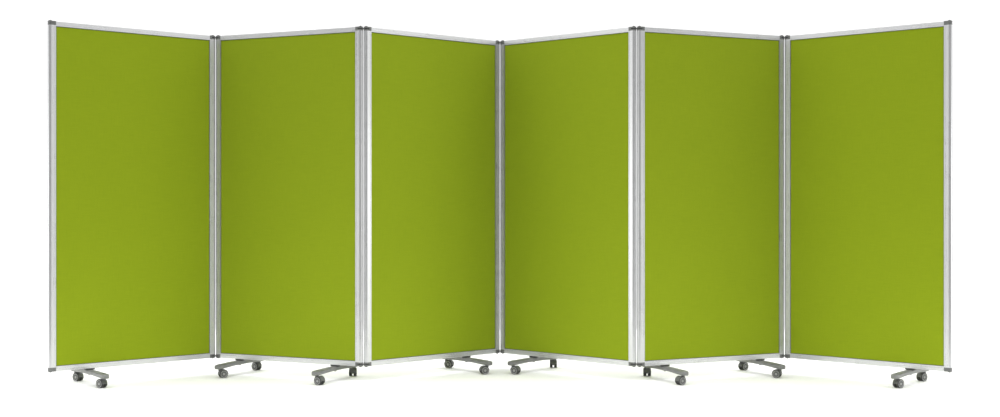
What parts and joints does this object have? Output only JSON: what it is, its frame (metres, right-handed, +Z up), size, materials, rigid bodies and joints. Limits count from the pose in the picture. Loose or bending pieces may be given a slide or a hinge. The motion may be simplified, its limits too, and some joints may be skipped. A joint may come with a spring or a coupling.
{
  "type": "folding screen",
  "caption": "Mobile concertina room divider: green fabric boards in aluminium frames, joined by double-pin link hinges, on cross feet with twin-wheel casters.",
  "frame": {"origin": "floor point under the middle of the standing screen's bounding box", "axes": "+X runs along the screen from panel 1 to panel 6, -Y is the front, which the opened middle fold faces, +Z up"},
  "size_m": [4.4088, 0.8412, 1.7943],
  "materials": {
    "satin_aluminium": "satin anodised",
    "green_fabric": "lime green woven loop fabric over a board",
    "grey_fittings": "matt grey moulding",
    "dark_grey_links": "matt dark grey moulding",
    "steel_pins": "darkened steel",
    "caster_grey": "matt grey moulding",
    "caster_wheel_grey": "matt grey wheels"
  },
  "bodies": {
    "panel_1": {"panel_1_frame": "satin_aluminium", "panel_1_board": "green_fabric", "panel_1_caps_and_feet": "grey_fittings"},
    "panel_2": {"panel_2_frame": "satin_aluminium", "panel_2_board": "green_fabric", "panel_2_caps_and_feet": "grey_fittings"},
    "panel_3": {"panel_3_frame": "satin_aluminium", "panel_3_board": "green_fabric", "panel_3_caps_and_feet": "grey_fittings"},
    "panel_4": {"panel_4_frame": "satin_aluminium", "panel_4_board": "green_fabric", "panel_4_caps_and_feet": "grey_fittings"},
    "panel_5": {"panel_5_frame": "satin_aluminium", "panel_5_board": "green_fabric", "panel_5_caps_and_feet": "grey_fittings"},
    "panel_6": {"panel_6_frame": "satin_aluminium", "panel_6_board": "green_fabric", "panel_6_caps_and_feet": "grey_fittings"},
    "fold_12": {"fold_12_links": "dark_grey_links", "fold_12_pins": "steel_pins"},
    "fold_23": {"fold_23_links": "dark_grey_links", "fold_23_pins": "steel_pins"},
    "fold_34": {"fold_34_links": "dark_grey_links", "fold_34_pins": "steel_pins"},
    "fold_45": {"fold_45_links": "dark_grey_links", "fold_45_pins": "steel_pins"},
    "fold_56": {"fold_56_links": "dark_grey_links", "fold_56_pins": "steel_pins"},
    "caster_1a_front_swivel": {"caster_1a_front_swivel": "caster_grey"},
    "caster_1a_front_wheels": {"caster_1a_front_wheels": "caster_wheel_grey"},
    "caster_1a_rear_swivel": {"caster_1a_rear_swivel": "caster_grey"},
    "caster_1a_rear_wheels": {"caster_1a_rear_wheels": "caster_wheel_grey"},
    "caster_2a_front_swivel": {"caster_2a_front_swivel": "caster_grey"},
    "caster_2a_front_wheels": {"caster_2a_front_wheels": "caster_wheel_grey"},
    "caster_2a_rear_swivel": {"caster_2a_rear_swivel": "caster_grey"},
    "caster_2a_rear_wheels": {"caster_2a_rear_wheels": "caster_wheel_grey"},
    "caster_2b_front_swivel": {"caster_2b_front_swivel": "caster_grey"},
    "caster_2b_front_wheels": {"caster_2b_front_wheels": "caster_wheel_grey"},
    "caster_2b_rear_swivel": {"caster_2b_rear_swivel": "caster_grey"},
    "caster_2b_rear_wheels": {"caster_2b_rear_wheels": "caster_wheel_grey"},
    "caster_3a_front_swivel": {"caster_3a_front_swivel": "caster_grey"},
    "caster_3a_front_wheels": {"caster_3a_front_wheels": "caster_wheel_grey"},
    "caster_3a_rear_swivel": {"caster_3a_rear_swivel": "caster_grey"},
    "caster_3a_rear_wheels": {"caster_3a_rear_wheels": "caster_wheel_grey"},
    "caster_4a_front_swivel": {"caster_4a_front_swivel": "caster_grey"},
    "caster_4a_front_wheels": {"caster_4a_front_wheels": "caster_wheel_grey"},
    "caster_4a_rear_swivel": {"caster_4a_rear_swivel": "caster_grey"},
    "caster_4a_rear_wheels": {"caster_4a_rear_wheels": "caster_wheel_grey"},
    "caster_5a_front_swivel": {"caster_5a_front_swivel": "caster_grey"},
    "caster_5a_front_wheels": {"caster_5a_front_wheels": "caster_wheel_grey"},
    "caster_5a_rear_swivel": {"caster_5a_rear_swivel": "caster_grey"},
    "caster_5a_rear_wheels": {"caster_5a_rear_wheels": "caster_wheel_grey"},
    "caster_5b_front_swivel": {"caster_5b_front_swivel": "caster_grey"},
    "caster_5b_front_wheels": {"caster_5b_front_wheels": "caster_wheel_grey"},
    "caster_5b_rear_swivel": {"caster_5b_rear_swivel": "caster_grey"},
    "caster_5b_rear_wheels": {"caster_5b_rear_wheels": "caster_wheel_grey"},
    "caster_6a_front_swivel": {"caster_6a_front_swivel": "caster_grey"},
    "caster_6a_front_wheels": {"caster_6a_front_wheels": "caster_wheel_grey"},
    "caster_6a_rear_swivel": {"caster_6a_rear_swivel": "caster_grey"},
    "caster_6a_rear_wheels": {"caster_6a_rear_wheels": "caster_wheel_grey"}
  },
  "joints": [
    {"name": "panel_3_to_link_34", "type": "hinge", "parent": "panel_3", "child": "fold_34", "pos_m": [-0.0145, 0.39799, 0.935], "axis": [0, 0, -1], "range_deg": [-41, 1]},
    {"name": "link_34_to_panel_4", "type": "hinge", "parent": "fold_34", "child": "panel_4", "pos_m": [0.0145, 0.39799, 0.935], "axis": [0, 0, -1], "range_deg": [-41, 1]},
    {"name": "panel_4_to_link_45", "type": "hinge", "parent": "panel_4", "child": "fold_45", "pos_m": [0.67412, -0.17541, 0.935], "axis": [0, 0, 1], "range_deg": [-32.75, 55.25]},
    {"name": "link_45_to_panel_5", "type": "hinge", "parent": "fold_45", "child": "panel_5", "pos_m": [0.70282, -0.17957, 0.935], "axis": [0, 0, 1], "range_deg": [-32.75, 55.25]},
    {"name": "panel_5_to_link_56", "type": "hinge", "parent": "panel_5", "child": "fold_56", "pos_m": [1.49812, 0.18288, 0.935], "axis": [0, 0, -1], "range_deg": [-32.5, 55.5]},
    {"name": "link_56_to_panel_6", "type": "hinge", "parent": "fold_56", "child": "panel_6", "pos_m": [1.52684, 0.17884, 0.935], "axis": [0, 0, -1], "range_deg": [-32.5, 55.5]},
    {"name": "panel_3_to_link_23", "type": "hinge", "parent": "panel_3", "child": "fold_23", "pos_m": [-0.67412, -0.17541, 0.935], "axis": [0, 0, -1], "range_deg": [-32.75, 55.25]},
    {"name": "link_23_to_panel_2", "type": "hinge", "parent": "fold_23", "child": "panel_2", "pos_m": [-0.70282, -0.17957, 0.935], "axis": [0, 0, -1], "range_deg": [-32.75, 55.25]},
    {"name": "panel_2_to_link_12", "type": "hinge", "parent": "panel_2", "child": "fold_12", "pos_m": [-1.49812, 0.18288, 0.935], "axis": [0, 0, 1], "range_deg": [-32.5, 55.5]},
    {"name": "link_12_to_panel_1", "type": "hinge", "parent": "fold_12", "child": "panel_1", "pos_m": [-1.52684, 0.17884, 0.935], "axis": [0, 0, 1], "range_deg": [-32.5, 55.5]},
    {"name": "caster_1a_front_turn", "type": "hinge", "parent": "panel_1", "child": "caster_1a_front_swivel", "pos_m": [-1.93069, -0.38965, 0.054], "axis": [0, 0, 1], "continuous": true},
    {"name": "caster_1a_rear_turn", "type": "hinge", "parent": "panel_1", "child": "caster_1a_rear_swivel", "pos_m": [-2.1515, -0.13111, 0.054], "axis": [0, 0, 1], "continuous": true},
    {"name": "caster_2a_front_turn", "type": "hinge", "parent": "panel_2", "child": "caster_2a_front_swivel", "pos_m": [-1.44213, -0.02946, 0.054], "axis": [0, 0, 1], "continuous": true},
    {"name": "caster_2a_rear_turn", "type": "hinge", "parent": "panel_2", "child": "caster_2a_rear_swivel", "pos_m": [-1.30113, 0.27992, 0.054], "axis": [0, 0, 1], "continuous": true},
    {"name": "caster_2b_front_turn", "type": "hinge", "parent": "panel_2", "child": "caster_2b_front_swivel", "pos_m": [-0.90802, -0.27287, 0.054], "axis": [0, 0, 1], "continuous": true},
    {"name": "caster_2b_rear_turn", "type": "hinge", "parent": "panel_2", "child": "caster_2b_rear_swivel", "pos_m": [-0.76703, 0.03652, 0.054], "axis": [0, 0, 1], "continuous": true},
    {"name": "caster_3a_front_turn", "type": "hinge", "parent": "panel_3", "child": "caster_3a_front_swivel", "pos_m": [-0.06922, 0.12517, 0.054], "axis": [0, 0, 1], "continuous": true},
    {"name": "caster_3a_rear_turn", "type": "hinge", "parent": "panel_3", "child": "caster_3a_rear_swivel", "pos_m": [-0.29228, 0.38177, 0.054], "axis": [0, 0, 1], "continuous": true},
    {"name": "caster_4a_front_turn", "type": "hinge", "parent": "panel_4", "child": "caster_4a_front_swivel", "pos_m": [0.06922, 0.12517, 0.054], "axis": [0, 0, 1], "continuous": true},
    {"name": "caster_4a_rear_turn", "type": "hinge", "parent": "panel_4", "child": "caster_4a_rear_swivel", "pos_m": [0.29228, 0.38177, 0.054], "axis": [0, 0, 1], "continuous": true},
    {"name": "caster_5a_front_turn", "type": "hinge", "parent": "panel_5", "child": "caster_5a_front_swivel", "pos_m": [0.90802, -0.27287, 0.054], "axis": [0, 0, 1], "continuous": true},
    {"name": "caster_5a_rear_turn", "type": "hinge", "parent": "panel_5", "child": "caster_5a_rear_swivel", "pos_m": [0.76703, 0.03652, 0.054], "axis": [0, 0, 1], "continuous": true},
    {"name": "caster_5b_front_turn", "type": "hinge", "parent": "panel_5", "child": "caster_5b_front_swivel", "pos_m": [1.44213, -0.02946, 0.054], "axis": [0, 0, 1], "continuous": true},
    {"name": "caster_5b_rear_turn", "type": "hinge", "parent": "panel_5", "child": "caster_5b_rear_swivel", "pos_m": [1.30113, 0.27992, 0.054], "axis": [0, 0, 1], "continuous": true},
    {"name": "caster_6a_front_turn", "type": "hinge", "parent": "panel_6", "child": "caster_6a_front_swivel", "pos_m": [1.93069, -0.38965, 0.054], "axis": [0, 0, 1], "continuous": true},
    {"name": "caster_6a_rear_turn", "type": "hinge", "parent": "panel_6", "child": "caster_6a_rear_swivel", "pos_m": [2.1515, -0.13111, 0.054], "axis": [0, 0, 1], "continuous": true},
    {"name": "caster_1a_front_roll", "type": "hinge", "parent": "caster_1a_front_swivel", "child": "caster_1a_front_wheels", "pos_m": [-1.94375, -0.38226, 0.021], "axis": [-0.4924, -0.8704, 0], "continuous": true},
    {"name": "caster_1a_rear_roll", "type": "hinge", "parent": "caster_1a_rear_swivel", "child": "caster_1a_rear_wheels", "pos_m": [-2.13845, -0.1385, 0.021], "axis": [0.4924, 0.8704, 0], "continuous": true},
    {"name": "caster_2a_front_roll", "type": "hinge", "parent": "caster_2a_front_swivel", "child": "caster_2a_front_wheels", "pos_m": [-1.42907, -0.02208, 0.021], "axis": [-0.4924, 0.8704, 0], "continuous": true},
    {"name": "caster_2a_rear_roll", "type": "hinge", "parent": "caster_2a_rear_swivel", "child": "caster_2a_rear_wheels", "pos_m": [-1.31405, 0.28754, 0.021], "axis": [-0.5075, -0.8616, 0], "continuous": true},
    {"name": "caster_2b_front_roll", "type": "hinge", "parent": "caster_2b_front_swivel", "child": "caster_2b_front_wheels", "pos_m": [-0.8951, -0.28048, 0.021], "axis": [0.5075, 0.8616, 0], "continuous": true},
    {"name": "caster_2b_rear_roll", "type": "hinge", "parent": "caster_2b_rear_swivel", "child": "caster_2b_rear_wheels", "pos_m": [-0.7669, 0.05152, 0.021], "axis": [-1, 0.0087, 0], "continuous": true},
    {"name": "caster_3a_front_roll", "type": "hinge", "parent": "caster_3a_front_swivel", "child": "caster_3a_front_wheels", "pos_m": [-0.08331, 0.12004, 0.021], "axis": [0.342, -0.9397, 0], "continuous": true},
    {"name": "caster_3a_rear_roll", "type": "hinge", "parent": "caster_3a_rear_swivel", "child": "caster_3a_rear_wheels", "pos_m": [-0.27818, 0.37664, 0.021], "axis": [0.342, 0.9397, 0], "continuous": true},
    {"name": "caster_4a_front_roll", "type": "hinge", "parent": "caster_4a_front_swivel", "child": "caster_4a_front_wheels", "pos_m": [0.08221, 0.11767, 0.021], "axis": [0.5, 0.866, 0], "continuous": true},
    {"name": "caster_4a_rear_roll", "type": "hinge", "parent": "caster_4a_rear_swivel", "child": "caster_4a_rear_wheels", "pos_m": [0.29228, 0.39677, 0.021], "axis": [-1, 0, 0], "continuous": true},
    {"name": "caster_5a_front_roll", "type": "hinge", "parent": "caster_5a_front_swivel", "child": "caster_5a_front_wheels", "pos_m": [0.8951, -0.28048, 0.021], "axis": [0.5075, -0.8616, 0], "continuous": true},
    {"name": "caster_5a_rear_roll", "type": "hinge", "parent": "caster_5a_rear_swivel", "child": "caster_5a_rear_wheels", "pos_m": [0.7669, 0.05152, 0.021], "axis": [-1, -0.0087, 0], "continuous": true},
    {"name": "caster_5b_front_roll", "type": "hinge", "parent": "caster_5b_front_swivel", "child": "caster_5b_front_wheels", "pos_m": [1.42907, -0.02208, 0.021], "axis": [-0.4924, -0.8704, 0], "continuous": true},
    {"name": "caster_5b_rear_roll", "type": "hinge", "parent": "caster_5b_rear_swivel", "child": "caster_5b_rear_wheels", "pos_m": [1.31405, 0.28754, 0.021], "axis": [-0.5075, 0.8616, 0], "continuous": true},
    {"name": "caster_6a_front_roll", "type": "hinge", "parent": "caster_6a_front_swivel", "child": "caster_6a_front_wheels", "pos_m": [1.94375, -0.38226, 0.021], "axis": [-0.4924, 0.8704, 0], "continuous": true},
    {"name": "caster_6a_rear_roll", "type": "hinge", "parent": "caster_6a_rear_swivel", "child": "caster_6a_rear_wheels", "pos_m": [2.13845, -0.1385, 0.021], "axis": [0.4924, -0.8704, 0], "continuous": true}
  ]
}
